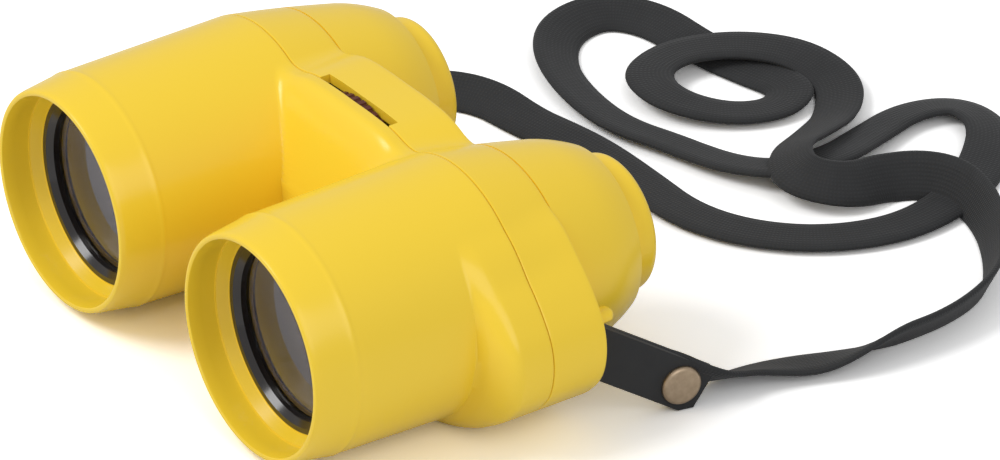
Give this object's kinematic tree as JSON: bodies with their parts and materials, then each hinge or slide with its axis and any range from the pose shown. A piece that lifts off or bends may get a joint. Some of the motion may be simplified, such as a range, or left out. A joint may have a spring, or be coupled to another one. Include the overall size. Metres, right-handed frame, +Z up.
{
  "type": "binoculars",
  "caption": "Child's compact moulded binoculars with hooded front lenses, sliding eyecups, a focus wheel recessed in the bridge and a riveted flat neck strap.",
  "frame": {"origin": "on the surface that the binoculars stand on, under the middle of the two-barrel body", "axes": "+X to the wearer's right across both barrels, +Y towards the eyepieces along the optical axes, +Z up"},
  "size_m": [0.1355, 0.1758, 0.0438],
  "materials": {
    "yellow_plastic": "soft gloss moulded ABS, warm yellow",
    "seal_rubber": "matte",
    "tinted_glass": "polished, slightly tinted",
    "clear_glass": "polished",
    "black_ring": "gloss black",
    "black_matte": "matte black",
    "wheel_plastic": "satin dark brown",
    "brass": "machined",
    "rivet_brass": "worn antique brass",
    "steel": "zinc plated",
    "webbing": "woven nylon tape, charcoal black"
  },
  "bodies": {
    "housing": {"front_shell": "yellow_plastic", "rear_shell": "yellow_plastic", "lens_seal_right": "seal_rubber", "lens_seal_left": "seal_rubber", "objective_lens_right": "tinted_glass", "objective_lens_left": "tinted_glass", "objective_ring_right": "black_ring", "objective_ring_left": "black_ring", "light_tube_right": "black_matte", "light_tube_left": "black_matte", "shell_screws": "steel", "strap_pin_right": "steel", "strap_pin_left": "steel", "strap_end_right": "webbing", "strap_end_left": "webbing", "strap_rivet_right": "rivet_brass", "strap_rivet_left": "rivet_brass", "strap_webbing": "webbing"},
    "eyepiece_carriage": {"eyepiece_tube_right": "black_matte", "eyepiece_tube_left": "black_matte", "eyepiece_lens_right": "clear_glass", "eyepiece_lens_left": "clear_glass", "eyepiece_ring_right": "black_ring", "eyepiece_ring_left": "black_ring", "eyecup_right": "yellow_plastic", "eyecup_left": "yellow_plastic", "focus_yoke": "black_matte", "focus_nut": "brass"},
    "focus_drive": {"focus_wheel": "wheel_plastic", "focus_screw": "steel", "thrust_washer": "steel", "screw_clip": "steel"}
  },
  "joints": [
    {"name": "focus_turn", "type": "hinge", "parent": "housing", "child": "focus_drive", "pos_m": [0, 0.005, 0.02615], "axis": [0, 1, 0], "range_deg": [-135, 135]},
    {"name": "eyepiece_slide", "type": "slide", "parent": "housing", "child": "eyepiece_carriage", "axis": [0, 1, 0], "range_m": [-0.0015, 0.0015]}
  ],
  "couplings": [
    {"joint": "eyepiece_slide", "follows": "focus_turn", "m_per_rad": 0.000636}
  ]
}
